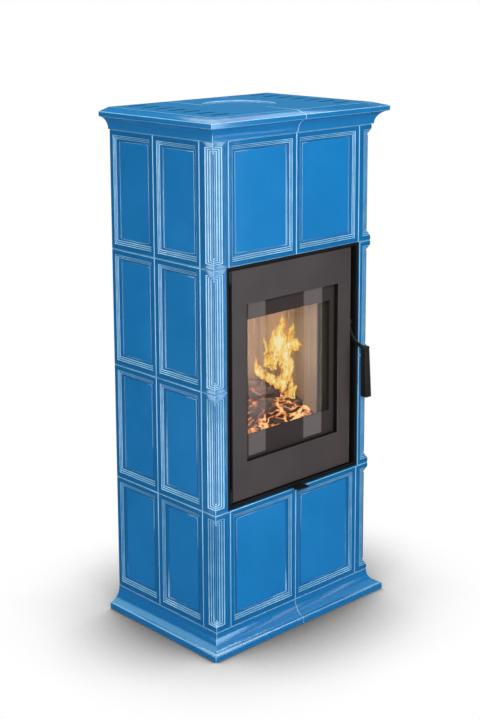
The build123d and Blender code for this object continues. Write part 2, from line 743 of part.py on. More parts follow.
with BuildPart() as door_leaf:
    with BuildSketch(Plane.XZ.offset(-leaf_front)):
        with Locations((0, leaf_middle)):
            Rectangle(2 * leaf_half, leaf_height)
    extrude(amount=-leaf_plate)
    face_edges = door_leaf.faces().sort_by(Axis.Y)[0].edges()
    chamfer(face_edges, leaf_edge_round)
    with BuildSketch(Plane.XZ.offset(-leaf_front - leaf_plate)):
        with Locations((0, leaf_middle)):
            Rectangle(2 * leaf_half, leaf_height)
            Rectangle(2 * (leaf_half - leaf_rim), leaf_height - 2 * leaf_rim, mode=Mode.SUBTRACT)
    extrude(amount=-(leaf_depth - leaf_plate))
    with BuildSketch(Plane.XZ.offset(-leaf_front - leaf_plate)):
        with Locations((0, window_middle)):
            Rectangle(2 * (window_half + window_rim), window_height + 2 * window_rim)
    extrude(amount=-(window_reveal - leaf_plate))
    with BuildSketch(Plane.XZ.offset(-leaf_front)):
        with Locations((0, window_middle)):
            Rectangle(2 * window_half, window_height)
    extrude(amount=-window_reveal, mode=Mode.SUBTRACT)
    with BuildSketch(Plane.XZ.offset(-leaf_rear)):
        with Locations((0, leaf_middle)):
            RectangleRounded(2 * leaf_half - leaf_rim + 2 * rope_groove,
                             leaf_height - leaf_rim + 2 * rope_groove, rope_corner + rope_groove)
            RectangleRounded(2 * leaf_half - leaf_rim - 2 * rope_groove,
                             leaf_height - leaf_rim - 2 * rope_groove,
                             rope_corner - rope_groove, mode=Mode.SUBTRACT)
    extrude(amount=rope_groove, mode=Mode.SUBTRACT)
    with BuildSketch(Plane.XZ.offset(-leaf_front - leaf_plate)):
        with Locations(*boss_places):
            RegularPolygon(boss_radius, 6)
    extrude(amount=-(clip_screw_y - leaf_front - leaf_plate))
    with BuildSketch(Plane.XZ.offset(-clip_screw_y)):
        with Locations(*boss_places):
            Circle(screw_radius + pin_clearance)
    extrude(amount=clip_screw_y - leaf_front - leaf_plate, mode=Mode.SUBTRACT)
    for low in (leaf_bottom, leaf_top - knuckle_height):
        with BuildSketch(Plane.XY.offset(low)):
            with Locations((hinge_x, hinge_y)):
                Circle(knuckle_radius)
            with Locations(((hinge_x - leaf_half) / 2, hinge_y + 1)):
                Rectangle(pin_inset + 2, 2 * (leaf_front + leaf_plate - hinge_y - 1))
        extrude(amount=knuckle_height)
        with BuildSketch(Plane.XY.offset(low)):
            with Locations((hinge_x, hinge_y)):
                Circle(pin_radius + pin_clearance)
        extrude(amount=knuckle_height, mode=Mode.SUBTRACT)
    with BuildSketch(Plane.YZ.offset(leaf_half)):
        with Locations((pivot_y, pivot_height)):
            Circle(pivot_radius + pin_clearance)
    extrude(amount=-leaf_rim, mode=Mode.SUBTRACT)
write(door_leaf.part, "door_leaf")

with BuildPart() as door_glass:
    with BuildSketch(Plane.XZ.offset(-glass_front)):
        with Locations((0, window_middle)):
            Rectangle(2 * (window_half + glass_lap), window_height + 2 * glass_lap)
    extrude(amount=-glass_thick)
    chamfer(door_glass.edges().group_by(Axis.Y)[0], 0.6)
write(door_glass.part, "door_glass")

clip_front = glass_rear + seat_gap
clip_thick = 2.5
clip_width = 17.0
clip_offset = glass_lap + 2.0  # window edge to the middle of a clip

with BuildPart() as glass_clips:
    with BuildSketch(Plane.XZ.offset(-clip_front)):
        with Locations((0, window_middle)):
            with GridLocations(2 * (window_half + clip_offset), 0, 2, 1):
                Rectangle(clip_width, window_height * 0.7)
            with GridLocations(0, window_height + 2 * clip_offset, 1, 2):
                Rectangle(window_half * 1.4, clip_width)
        with Locations(*boss_places):
            Circle(screw_radius + pin_clearance, mode=Mode.SUBTRACT)
    extrude(amount=-clip_thick)
write(glass_clips.part, "glass_clips")

with BuildPart() as glass_screws:
    with BuildSketch(Plane.XZ.offset(-clip_front - clip_thick)):
        with Locations(*boss_places):
            RegularPolygon(screw_head_radius, 6)
    extrude(amount=-screw_head_thick)
    with BuildSketch(Plane.XZ.offset(-clip_front - clip_thick)):
        with Locations(*boss_places):
            Circle(screw_radius)
    extrude(amount=screw_length)
write(glass_screws.part, "glass_screws")

rope_half = leaf_half - leaf_rim / 2
rope_span = leaf_height - leaf_rim

with BuildPart() as door_rope:
    with BuildSketch(Plane.XZ.offset(-leaf_rear), mode=Mode.PRIVATE) as rope_run:
        with Locations((0, leaf_middle)):
            RectangleRounded(2 * rope_half, rope_span, rope_corner)
    with BuildSketch(Plane(origin=(rope_half, leaf_rear, leaf_middle), x_dir=(1, 0, 0), z_dir=(0, 0, 1))):
        RegularPolygon(rope_radius, rope_facets, major_radius=False, rotation=180 / rope_facets)
    sweep(path=rope_run.sketch.face().outer_wire())
write(door_rope.part, "door_rope_seal")

# ------------------------------------------------------------------ handle
lever_x = leaf_half + lever_clear
lever_middle_x = lever_x + lever_thick / 2
sweep_y = pivot_y - lever_sweep - 2
arm_under = pivot_height - lever_sweep - lever_bar / 2
grip_y = sweep_y + 1.0
nose_reach = 12.0
nose_rise = 10.0
nose_size = (7.0, 13.0)

with BuildPart() as handle_lever:
    with BuildSketch(Plane.YZ.offset(lever_x)):
        with Locations((sweep_y, pivot_height)):
            Circle(lever_sweep + lever_bar / 2)
            Circle(lever_sweep - lever_bar / 2, mode=Mode.SUBTRACT)
        with Locations((sweep_y + 50, pivot_height - 50)):
            Rectangle(100, 100, mode=Mode.INTERSECT)
        with Locations((pivot_y, pivot_height)):
            Circle(pivot_boss)
        with Locations((pivot_y + nose_reach, pivot_height + nose_rise)):
            Rectangle(*nose_size, align=(Align.MAX, Align.MAX))
        with Locations((pivot_y, pivot_height)):
            Circle(pivot_radius + pin_clearance, mode=Mode.SUBTRACT)
    extrude(amount=lever_thick)
    with BuildSketch(Plane.XY.offset(arm_under)):
        with Locations((lever_middle_x, grip_y)):
            RectangleRounded(grip_top, grip_top, 2)
    extrude(amount=lever_bar)
    with BuildSketch(Plane.XY.offset(arm_under)):
        with Locations((lever_middle_x, grip_y)):
            Circle(tang_radius)
    extrude(amount=-tang_length)
write(handle_lever.part, "handle_lever")

with BuildPart() as handle_grip:
    with BuildSketch(Plane.XY.offset(arm_under - seat_gap)):
        with Locations((lever_middle_x, grip_y)):
            RectangleRounded(grip_top, grip_top, 2)
    with BuildSketch(Plane.XY.offset(arm_under - grip_length)):
        with Locations((lever_middle_x, grip_y - grip_lean)):
            RectangleRounded(grip_bottom, grip_bottom, 2)
    loft()
    with BuildSketch(Plane.XY.offset(arm_under - seat_gap)):
        with Locations((lever_middle_x, grip_y)):
            Circle(tang_radius)
    extrude(amount=-tang_length - 1, mode=Mode.SUBTRACT)
write(handle_grip.part, "handle_grip")

with BuildPart() as pivot_bolt:
    with BuildSketch(Plane.YZ.offset(leaf_half - leaf_rim)):
        with Locations((pivot_y, pivot_height)):
            Circle(pivot_radius)
    extrude(amount=leaf_rim + lever_clear + lever_thick + seat_gap)
    with BuildSketch(Plane.YZ.offset(leaf_half)):
        with Locations((pivot_y, pivot_height)):
            Circle(pivot_radius + 2)
    extrude(amount=lever_clear - seat_gap)
    with BuildSketch(Plane.YZ.offset(lever_x + lever_thick + seat_gap)):
        with Locations((pivot_y, pivot_height)):
            RegularPolygon(pivot_head_radius, 6)
    extrude(amount=pivot_head_thick)
write(pivot_bolt.part, "handle_pivot_bolt")

keeper_clear = 0.7
keeper_height = 32.0
keeper_thick = 6.0
keeper_foot = (10.0, 13.0)
keeper_bottom = pivot_height + nose_rise + keeper_clear

with BuildPart() as latch_keeper:
    with BuildSketch(Plane.YZ.offset(opening_half)):
        with Locations((pivot_y + nose_reach - keeper_thick / 2, keeper_bottom)):
            Rectangle(keeper_thick, keeper_height, align=(Align.CENTER, Align.MIN))
        with Locations((pivot_y + nose_reach - keeper_thick, keeper_bottom + keeper_height)):
            Rectangle(*keeper_foot, align=(Align.MIN, Align.MAX))
    extrude(amount=-(opening_half - lever_x - 1))
write(latch_keeper.part, "latch_keeper")

# ------------------------------------------------------------------ combustion air lever
tab_width = 36.0
tab_reach = 18.0  # in front of the tile face
tab_shift = 8.0
tab_thick = 2.2
tab_clear = 0.5
tab_z = frame_bottom - tab_clear - tab_thick
tab_rounding = 5.0
strip_width = 22.0
riser_y = shutter_front + rail_lip + 1.0
riser_thick = 2.4
air_travel_shut = 7.0
air_rest_offset = air_slot_length - 5.0  # shutter slots beside the firebox's at rest
shutter_length = 2 * (air_slot_pitch + air_slot_length / 2 + 4) + air_rest_offset + air_travel_shut
shutter_top = chamber_floor - rail_gap

with BuildPart() as air_lever:
    with BuildSketch(Plane.XY.offset(tab_z)):
        with Locations((tab_shift, front - tab_reach)):
            RectangleRounded(tab_width, tab_width / 2, tab_rounding, align=(Align.CENTER, Align.MIN))
        with Locations((tab_shift, front - tab_reach / 2)):
            Rectangle(strip_width, riser_y + riser_thick - front + tab_reach / 2,
                      align=(Align.CENTER, Align.MIN))
    extrude(amount=tab_thick)
    with BuildSketch(Plane.XY.offset(tab_z)):
        with Locations((tab_shift, riser_y)):
            Rectangle(strip_width, riser_thick, align=(Align.CENTER, Align.MIN))
    extrude(amount=shutter_top - shutter_thick - tab_z)
    with BuildSketch(Plane.XY.offset(shutter_top - shutter_thick)):
        with Locations((tab_shift, shutter_middle)):
            Rectangle(shutter_length, shutter_width)
        with Locations((air_rest_offset, shutter_middle)):
            with GridLocations(air_slot_pitch, 0, air_slot_count, 1):
                Rectangle(air_slot_length, air_slot_width, mode=Mode.SUBTRACT)
    extrude(amount=shutter_thick)
write(air_lever.part, "air_lever")
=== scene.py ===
"""Looks of the tiled wood stove: glaze, steel, glass, refractory and the fire behind the window.

Metres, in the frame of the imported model. The stove is built up from the floor: room, tiles,
mouldings, steelwork, lining, door, handle, air lever and last the charge of burning logs.
"""
import math
import random

import bmesh
import bpy
from mathutils import Matrix, Vector, noise


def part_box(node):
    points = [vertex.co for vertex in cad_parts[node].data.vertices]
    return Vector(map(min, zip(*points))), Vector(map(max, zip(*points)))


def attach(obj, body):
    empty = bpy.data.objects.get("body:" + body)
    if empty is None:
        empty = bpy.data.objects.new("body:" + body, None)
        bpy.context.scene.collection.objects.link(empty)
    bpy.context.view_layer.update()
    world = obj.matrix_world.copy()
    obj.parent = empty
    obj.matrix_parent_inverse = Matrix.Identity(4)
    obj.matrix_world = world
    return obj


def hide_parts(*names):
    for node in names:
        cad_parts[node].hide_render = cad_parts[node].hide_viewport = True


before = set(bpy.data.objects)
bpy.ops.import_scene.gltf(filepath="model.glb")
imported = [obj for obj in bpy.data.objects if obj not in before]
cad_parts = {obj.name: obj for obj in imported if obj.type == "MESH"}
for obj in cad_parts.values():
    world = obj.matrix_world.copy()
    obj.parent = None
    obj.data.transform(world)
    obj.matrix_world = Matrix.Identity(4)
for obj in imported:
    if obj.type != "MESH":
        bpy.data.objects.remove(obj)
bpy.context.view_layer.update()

scene = bpy.context.scene

# ---------------------------------------------------------------- studio
# A white sweep with soft boxes: one high beside the camera, one to the right of the front
# and one overhead. The camera looks at the front left corner from above the cornice.
scene.view_settings.view_transform = "Standard"

lens = bpy.data.cameras.new("camera")
lens.lens = 70.04
lens.sensor_width = 36.0
lens.shift_y = -0.18
lens.clip_end = 60.0
camera = bpy.data.objects.new("camera", lens)
heading, dip, roll = -43.194, 10.628, -0.268
camera.matrix_world = (
    Matrix.Translation((-2.0724, -2.1985, 1.4270))
    @ Matrix.Rotation(math.radians(heading), 4, "Z")
    @ Matrix.Rotation(math.radians(90 - dip), 4, "X")
    @ Matrix.Rotation(math.radians(roll), 4, "Z")
)
scene.collection.objects.link(camera)
scene.camera = camera


def softbox(name, place, aim, width, height, watts):
    """Rectangular soft box that faces a point."""
    lamp = bpy.data.lights.new(name, "AREA")
    lamp.shape = "RECTANGLE"
    lamp.size = width
    lamp.size_y = height
    lamp.energy = watts
    box = bpy.data.objects.new(name, lamp)
    box.location = place
    box.rotation_euler = (Vector(aim) - Vector(place)).to_track_quat("-Z", "Y").to_euler()
    scene.collection.objects.link(box)


softbox("key_softbox", (-2.5, -2.9, 2.5), (0, 0, 0.6), 1.1, 1.1, 95)
softbox("front_softbox", (0.7, -3.6, 1.9), (0, 0, 0.6), 1.0, 1.6, 34)
softbox("overhead_softbox", (0.2, 0.4, 3.6), (0, 0, 0.5), 2.2, 1.6, 60)


class Wire:
    """An outlet of a node; sums and products with it add Math nodes to its tree."""

    def __init__(self, tree, outlet=None):
        self.tree = tree
        self.outlet = outlet

    def node(self, kind, settings=None, inlets=None, outlet=0):
        made = self.tree.nodes.new(kind)
        for key, value in (settings or {}).items():
            if key == "stops":
                ramp = made.color_ramp
                ramp.elements[0].position, ramp.elements[0].color = value[0]
                ramp.elements[1].position, ramp.elements[1].color = value[-1]
                for place, colour in value[1:-1]:
                    ramp.elements.new(place).color = colour
            else:
                setattr(made, key, value)
        for key, value in (inlets or {}).items():
            if isinstance(value, Wire):
                self.tree.links.new(value.outlet, made.inputs[key])
            else:
                made.inputs[key].default_value = value
        return Wire(self.tree, made.outputs[outlet] if len(made.outputs) else None)

    def math(self, operation, *others):
        """Math node whose first operand is this wire."""
        return self.node("ShaderNodeMath", {"operation": operation}, dict(enumerate((self, *others))))

    def vector(self, operation, *others):
        """Vector Math node whose first operand is this wire."""
        outlet = "Value" if operation in ("DOT_PRODUCT", "DISTANCE") else "Vector"
        return self.node("ShaderNodeVectorMath", {"operation": operation},
                         dict(enumerate((self, *others))), outlet)

    def __add__(self, other):
        return self.math("ADD", other)

    def __sub__(self, other):
        return self.math("SUBTRACT", other)

    def __rsub__(self, other):
        return self.node("ShaderNodeMath", {"operation": "SUBTRACT"}, {0: other, 1: self})

    def __mul__(self, other):
        return self.math("MULTIPLY", other)

    def __truediv__(self, other):
        return self.math("DIVIDE", other)

    def __pow__(self, other):
        return self.math("POWER", other)

    def __gt__(self, other):
        return self.math("GREATER_THAN", other)

    def __lt__(self, other):
        return self.math("LESS_THAN", other)

    __radd__ = __add__
    __rmul__ = __mul__

    def between(self, low, high):
        """0 below low, 1 above high and a straight climb from one to the other."""
        return self.node("ShaderNodeMapRange", {"clamp": True}, {0: self, 1: low, 2: high})

    def tint(self, first, second):
        """Colour that goes from first to second as this wire goes from 0 to 1."""
        return self.node("ShaderNodeMix", {"data_type": "RGBA"}, {0: self, 6: first, 7: second}, 2)

    def separate(self, axis):
        return self.node("ShaderNodeSeparateXYZ", None, {0: self}, "XYZ".index(axis))

    def grain(self, scale, detail=2.0, roughness=0.5, distortion=0.0):
        sizes = {"Scale": scale, "Detail": detail, "Roughness": roughness, "Distortion": distortion}
        return self.node("ShaderNodeTexNoise", None, {"Vector": self, **sizes})

    def cells(self, scale):
        """Distance to the nearest of scattered points."""
        return self.node("ShaderNodeTexVoronoi", None, {"Vector": self, "Scale": scale})

    def bump(self, strength, distance):
        """Normal tilted by this wire as a height."""
        return self.node("ShaderNodeBump", None,
                         {"Strength": strength, "Distance": distance, "Height": self})

    def ramp(self, *stops):
        """Colour read off a ramp of places and colours."""
        return self.node("ShaderNodeValToRGB", {"stops": stops}, {0: self})

    def place(self):
        """The spot that is shaded, on its piece's own axes."""
        return self.node("ShaderNodeTexCoord", None, None, "Object")

    def attribute(self, name):
        return self.node("ShaderNodeAttribute", {"attribute_name": name}, None, "Fac")


def tone(code):
    """Linear colour of a six-digit screen colour."""
    parts = [int(code[i:i + 2], 16) / 255 for i in (0, 2, 4)]
    return (*[p / 12.92 if p <= 0.04045 else ((p + 0.055) / 1.055) ** 2.4 for p in parts], 1.0)


def toned(colour, gain, lift=0.0):
    """Opaque colour made brighter or darker."""
    return (*[part * gain + lift for part in colour[:3]], 1.0)


def blank_material(name):
    """Material without nodes, and a wire to start them from."""
    material = bpy.data.materials.new(name)
    material.use_nodes = True
    material.node_tree.nodes.clear()
    return material, Wire(material.node_tree)


def coated(start, **inlets):
    """Principled surface wired to the material's output."""
    face = start.node("ShaderNodeBsdfPrincipled", None, inlets)
    start.node("ShaderNodeOutputMaterial", None, {"Surface": face})


def eye_ray(start):
    """1 for what is seen directly, in gloss or through glass, 0 for light on its way."""
    direct, gloss, clear = [start.node("ShaderNodeLightPath", None, None, f"Is {kind} Ray")
                            for kind in ("Camera", "Glossy", "Transmission")]
    return direct + gloss + clear


# The sweep is plain white to the eye but for a soft shadow in a narrow band round the
# stove; to the light it is matt white.
sweep_material, start = blank_material("white_sweep")
nearby = start.node("ShaderNodeAmbientOcclusion", {"samples": 16}, {"Distance": 0.34}, "AO")
matt = start.node("ShaderNodeBsdfDiffuse", None, {"Color": (0.93, 0.93, 0.93, 1), "Roughness": 0.6})
shade = (nearby.between(0.47, 0.96) ** 1.15).tint((0.02, 0.02, 0.025, 1), (1, 1, 1, 1))
white = start.node("ShaderNodeEmission", None, {"Color": shade, "Strength": 1.0})
sweep_face = start.node("ShaderNodeMixShader", None, {0: eye_ray(start), 1: matt, 2: white})
start.node("ShaderNodeOutputMaterial", None, {"Surface": sweep_face})

square = ((-1, -1), (1, -1), (1, 1), (-1, 1))
sweep_half = 9
sweep_mesh = bpy.data.meshes.new("sweep")
sweep_mesh.from_pydata([(x * sweep_half, y * sweep_half, 0) for x, y in square], [], [(0, 1, 2, 3)])
sweep_mesh.materials.append(sweep_material)
sweep = bpy.data.objects.new("sweep", sweep_mesh)
scene.collection.objects.link(sweep)

world = bpy.data.worlds.new("studio")
world.use_nodes = True
world.node_tree.nodes.clear()
start = Wire(world.node_tree)
soft = start.node("ShaderNodeBackground", None, {"Color": (1, 1, 1, 1), "Strength": 0.30})
plain = start.node("ShaderNodeBackground", None, {"Color": (1, 1, 1, 1), "Strength": 1.0})
sky = start.node("ShaderNodeMixShader", None, {0: eye_ray(start), 1: soft, 2: plain})
start.node("ShaderNodeOutputWorld", None, {"Surface": sky})
scene.world = world


# Cards that only gloss can see shape the reflections. Low dark ones keep the white room out
# of the flat faces; bright ones light up whatever turns towards the camera or upwards.
def card(name, points, faces, colour, strength):
    """Evenly lit card from these corners."""
    material, start = blank_material(name)
    lit = start.node("ShaderNodeEmission", None, {"Color": colour, "Strength": strength})
    start.node("ShaderNodeOutputMaterial", None, {"Surface": lit})
    mesh = bpy.data.meshes.new(name)
    mesh.from_pydata(points, [], faces)
    mesh.materials.append(material)
    board = bpy.data.objects.new(name, mesh)
    scene.collection.objects.link(board)
    board.visible_camera = False
    board.visible_diffuse = False
    board.visible_transmission = False
    board.visible_shadow = False


def curved_card(name, bearings, radius, heights, colour, strength):
    """Upright curved card; bearings in degrees from straight in front, growing to the left."""
    steps = max(2, round((bearings[1] - bearings[0]) / 8))
    points = []
    for step in range(steps + 1):
        bearing = math.radians(bearings[0] + (bearings[1] - bearings[0]) * step / steps)
        points += [(-math.sin(bearing) * radius, -math.cos(bearing) * radius, z) for z in heights]
    faces = [(2 * k, 2 * k + 1, 2 * k + 3, 2 * k + 2) for k in range(steps)]
    card(name, points, faces, colour, strength)


dim = (0.75, 0.85, 1.0, 1)
cool = (0.72, 0.93, 1.0, 1)
blue = (0.15, 0.55, 1.0, 1)
near, far = 0.98, 2.2  # distances of the cards from the stove's middle
card("dark_floor", [(x * 2, y * 2, 0.002) for x, y in square], [(0, 1, 2, 3)], dim, 0.1)
curved_card("dark_right", (-128, -20), far, (0.01, 1.25), dim, 0.1)
curved_card("dark_left", (112, 196), far, (0.01, 1.25), dim, 0.1)
curved_card("dark_behind", (196, 216), far, (0.01, 2.6), blue, 0.42)
curved_card("dark_beside", (216, 246), far, (0.01, 1.95), blue, 0.42)
curved_card("bright_beside", (226, 262), far, (1.95, 3.2), cool, 1.5)
for side, bearings, share in (
        ("right", (-25, -9), 1.0), ("middle", (-9, 94), 0.42), ("left", (94, 114), 1.0)):
    for level, heights, strength in (
            ("low", (0.003, 0.34), 7.5), ("mid", (0.34, 0.64), 7.0), ("high", (0.64, 1.45), 8.5)):
        curved_card(f"front_{side}_{level}", bearings, near, heights, cool, strength * share)
curved_card("bright_right", (-108, -32), far, (1.35, 3.0), (0.5, 0.86, 1.0, 1), 1.2)
curved_card("bright_above", (-100, -52), far, (3.0, 4.3), cool, 11.0)
curved_card("bright_left", (122, 190), far, (1.35, 3.0), (0.5, 0.95, 1.0, 1), 3.4)

# Two white strips stand in front, to the right, and draw their bands in the window.
strip_y, foot, head = -0.75, 0.10, 0.6
for name, left, right in (("strip_left", 0.451, 0.516), ("strip_right", 0.666, 0.740)):
    corners = ((left, foot), (right, foot), (right, head), (left, head))
    card(name, [(x, strip_y, z) for x, z in corners], [(0, 1, 2, 3)], (1.0, 0.94, 0.92, 1), 3.7)

# ---------------------------------------------------------------- glazed field tiles
# Pressed clay tiles under a glossy blue glaze: flat border, four reeds that step down to a
# sunk panel. The glaze runs thin and pale on every crest and pools dark in the grooves; the
# pale crests also carry painted highlight and the dark grooves painted shade.


def glaze(name, border, panel, pale, waviness, detail=None):
    """Blue glaze that reads the piece's ridge, panel and firing attributes, the last with some painted
    shade.

    From the place on the piece, detail gives painted highlight lines and painted shade."""
    material, start = blank_material(name)
    place = start.place()
    ridge = start.attribute("ridge")
    cloud = place.grain(7.0, 3.0, 0.55, 0.4)
    flow = place.grain(38.0, 4.0, 0.6)
    speck = place.grain(900.0, 1.0, 0.5) > 0.67
    # The firing attribute holds random tone and, on low side tiles, painted shade.
    fired_and_shaded = start.attribute("panel") * 0.75 + (cloud - 0.5) * 0.9 + start.attribute("firing")
    body = fired_and_shaded.between(0.0, 1.0).tint(border, panel)
    # Pale on crests and dark in grooves: partly glaze that runs thin or pools, partly painted
    # highlight and painted shade. Ridges above 1.1, chiefly a corner tile's arris, get more painted
    # highlight.
    thin = (ridge + (flow - 0.5) * 0.5).between(0.45, 1.0) * 0.72 + speck * 0.04
    thin = thin + ridge.between(1.1, 1.5) * 0.35
    pool_and_shade = (ridge * -1.0).between(0.0, 0.6) * 0.75
    if detail:
        highlight_lines, shaded_hollows = detail(place)
        thin = (thin + highlight_lines * 0.6).math("MINIMUM", 1.0)
        pool_and_shade = (pool_and_shade + shaded_hollows).math("MINIMUM", 1.0)
    pooled_and_shaded = pool_and_shade.tint(body, (border[0] * 0.2, border[1] * 0.3, border[2] * 0.42, 1))
    colour = thin.tint(pooled_and_shaded, pale)
    ripple = place.grain(waviness, 2.0, 0.45) * 0.9 + place.grain(260.0, 2.0, 0.5) * 0.08
    rough = 0.09 + cloud * 0.08 + speck * 0.06
    coated(start, **{"Base Color": colour, "Roughness": rough, "Normal": ripple.bump(0.22, 0.004),
                     "IOR": 1.5})
    return material


tile_glaze = glaze("glazed_tiles", tone("08659f"), tone("157dbf"), tone("9ad6f2"), 22.0)

# Rings of a tile from its back to its middle: two behind, seven round the rim, two on the
# border, eight to a reed, and three on the panel.
ring_points = 11
rim_start, rim_end, border_end, relief_start = 2, 8, 10, 11
reed_steps, panel_rings = 8, 3


def empty_tree(name, sizes):
    """Start of a geometry tree that takes these sizes and a finish, and its inputs by name."""
    tree = bpy.data.node_groups.new(name, "GeometryNodeTree")
    for size in sizes:
        tree.interface.new_socket(size, in_out="INPUT", socket_type="NodeSocketFloat")
    tree.interface.new_socket("Finish", in_out="INPUT", socket_type="NodeSocketMaterial")
    tree.interface.new_socket("Piece", in_out="OUTPUT", socket_type="NodeSocketGeometry")
    group = tree.nodes.new("NodeGroupInput")
    return Wire(tree), {s.name: Wire(tree, s) for s in group.outputs if s.name}


def closed_tree(shape, finish):
    """Tree that puts out this shape as one mesh with its finish."""
    whole = shape.node("GeometryNodeRealizeInstances", None, {"Geometry": shape})
    done = shape.node("GeometryNodeSetMaterial", None, {"Geometry": whole, "Material": finish})
    shape.node("NodeGroupOutput", None, {"Piece": done})
    return shape.tree


def relief_tile_tree():
    """Tile from nested rings: back, rounded rim, border, round reeds, sunk panel.

    A ring holds five points along the bottom and five along the top; the middle three carry
    the arris of a corner tile, whose two legs fold back from it by Folded = 1."""
    start, size = empty_tree("relief_tile", (
        "Height", "Left reach", "Right reach", "Relief reach", "Relief height", "Thickness",
        "Rim round", "Reeds", "Pitch across", "Pitch along", "Reed drop", "Reed swell",
        "Foot", "Arris round", "Folded", "Firing", "Last reed"))

    reeds_end = size["Reeds"] * reed_steps + relief_start
    last_ring = reeds_end + panel_rings
    index = start.node("GeometryNodeInputIndex")
    ring = ((index + 0.5) / ring_points).math("FLOOR")
    step = (index - ring * ring_points).math("FLOORED_MODULO", ring_points - 1)
    top_row = step > 4.5
    rank = step * (1 - top_row) + (9 - step) * top_row - 2
    right = rank > 0.5
    left = rank < -0.5
    middle = 1 - right - left
    end = rank.math("ABSOLUTE") > 1.5

    turn = (ring - rim_start).between(0.0, rim_end - rim_start) * (math.pi / 2)
    rim_inset = size["Rim round"] * (1 - turn.math("COSINE"))
    rim_depth = size["Rim round"] * (1 - turn.math("SINE"))
    at_back = ring < rim_start - 0.5
    run = ((ring - relief_start) / reed_steps).math("MAXIMUM", 0.0).math("MINIMUM", size["Reeds"])
    across = run.math("FRACT") * 2 - 1
    across = across * across
    in_reeds = (ring > relief_start - 0.5) * (ring < reeds_end + 0.5)
    last = (run > size["Reeds"] - 0.99) * (size["Last reed"] > 0.01)
    rounded = 1 - (1 - across).math("MAXIMUM", 0.0).math("SQRT")
    swell = size["Reed swell"] * (1 - last * 0.6) * rounded
    depth = (
        at_back * size["Thickness"]
        + (1 - at_back) * rim_depth
        + run * size["Reed drop"]
        + in_reeds * swell
    )
    wide_last = (run - size["Reeds"] + 1).math("MAXIMUM", 0.0)
    spread = run * (1 - size["Last reed"]) + wide_last * size["Reeds"] * size["Last reed"]
    past_foot = (ring > reeds_end + 0.5) * size["Foot"] + (ring > reeds_end + 1.5) * size["Foot"]

    rim_gap, relief_gap = 0.0004, 0.0002  # from the border's two rings to the rim and the relief

    def inward(reach, relief, travel):
        """Distance from the tile's middle at each ring, on one side."""
        outside = reach - rim_inset - (ring > rim_end + 0.5) * rim_gap
        inside = relief - travel - past_foot
        at_end = (ring > border_end - 0.5) * (ring < border_end + 0.5)
        return (outside * (ring < border_end - 0.5) + (relief + relief_gap) * at_end
                + inside * (ring > border_end + 0.5))

    width = inward(size["Left reach"] * left + size["Right reach"] * right,
                   size["Relief reach"], spread * size["Pitch across"])
    rise = inward(size["Height"] / 2, size["Relief height"], run * size["Pitch along"])
    rise = rise * (ring > 0.5) * (ring < last_ring - 0.5) * (top_row * 2 - 1)
    folded = size["Folded"]
    arris = size["Arris round"] * (1 - at_back)
    reach = end * width + (1 - end) * (1 - middle) * (arris + folded * depth + at_back * 0.001)
    nose = middle * arris * 0.293  # 1 - cos 45 degrees
    flat_x = reach * (right - left)
    folded_x = right * reach + (1 - right) * (depth + nose)
    folded_y = left * reach + (1 - left) * (depth + nose)
    x = flat_x * (1 - folded) + folded_x * folded
    y = depth * (1 - folded) + folded_y * folded
    spot = start.node("ShaderNodeCombineXYZ", None, {"X": x, "Y": y, "Z": rise})

    # The ridge attribute: crests, rims and the arris run pale and grooves dark, partly for glaze that
    # runs thin or pools and partly as painted highlight and painted shade. The arris and the panel
    # beside it are raised further as painted highlight.
    crest = in_reeds * (1 - across * 1.6) * (1 - last * 0.6)
    rim_line = (ring > rim_start - 0.5) * (ring < rim_end + 0.5) * (turn * 2).math("SINE") * 1.15
    arris_line = middle * folded * (ring > rim_end - 0.5)
    beside = (1 - end) * (1 - middle) * folded * (ring > reeds_end + 0.5)
    ridge = crest * (1 - arris_line) + rim_line + arris_line * 1.6 + beside * 0.6
    panel = ring > reeds_end + 0.5
    grid = start.node("GeometryNodeMeshGrid", None, {
        "Size X": 1.0, "Size Y": 1.0, "Vertices X": last_ring + 1, "Vertices Y": ring_points})
    for name, value in (("ridge", ridge), ("panel", panel), ("firing", size["Firing"])):
        grid = start.node("GeometryNodeStoreNamedAttribute", {"data_type": "FLOAT", "domain": "POINT"},
                          {"Geometry": grid, "Name": name, "Value": value})
    placed = start.node("GeometryNodeSetPosition", None, {"Geometry": grid, "Position": spot})
    welded = start.node("GeometryNodeMergeByDistance", None, {"Geometry": placed, "Distance": 0.00001})
    smooth = start.node("GeometryNodeSetShadeSmooth", None, {"Geometry": welded, "Shade Smooth": True})
    return closed_tree(smooth, size["Finish"])


def grown(name, tree, sizes, place):
    """Plain mesh of what a tree makes with these inputs, moved to its place."""
    seed = bpy.data.objects.new(name, bpy.data.meshes.new(name + "_seed"))
    scene.collection.objects.link(seed)
    maker = seed.modifiers.new(tree.name, "NODES")
    maker.node_group = tree
    for item in tree.interface.items_tree:
        if item.in_out == "INPUT" and item.name in sizes:
            maker[item.identifier] = sizes[item.name]
    bpy.context.view_layer.update()
    evaluated = seed.evaluated_get(bpy.context.evaluated_depsgraph_get())
    mesh = bpy.data.meshes.new_from_object(evaluated)
    bpy.data.objects.remove(seed)
    mesh.transform(place)
    return mesh


def set_shell(mesh):
    """Turns a closed mesh's faces outwards and shades it smooth between its sharp edges."""
    shape = bmesh.new()
    shape.from_mesh(mesh)
    bmesh.ops.recalc_face_normals(shape, faces=shape.faces)
    shape.to_mesh(mesh)
    shape.free()
    mesh.shade_smooth()
    mesh.set_sharp_from_angle(angle=math.radians(50))


def set_piece(name, mesh, body, slot, *nodes):
    """Adds a finished mesh to the stove, riding a body and standing for CAD nodes."""
    piece = bpy.data.objects.new(name, mesh)
    scene.collection.objects.link(piece)
    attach(piece, body)
    if nodes:
        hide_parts(*nodes)
    return piece


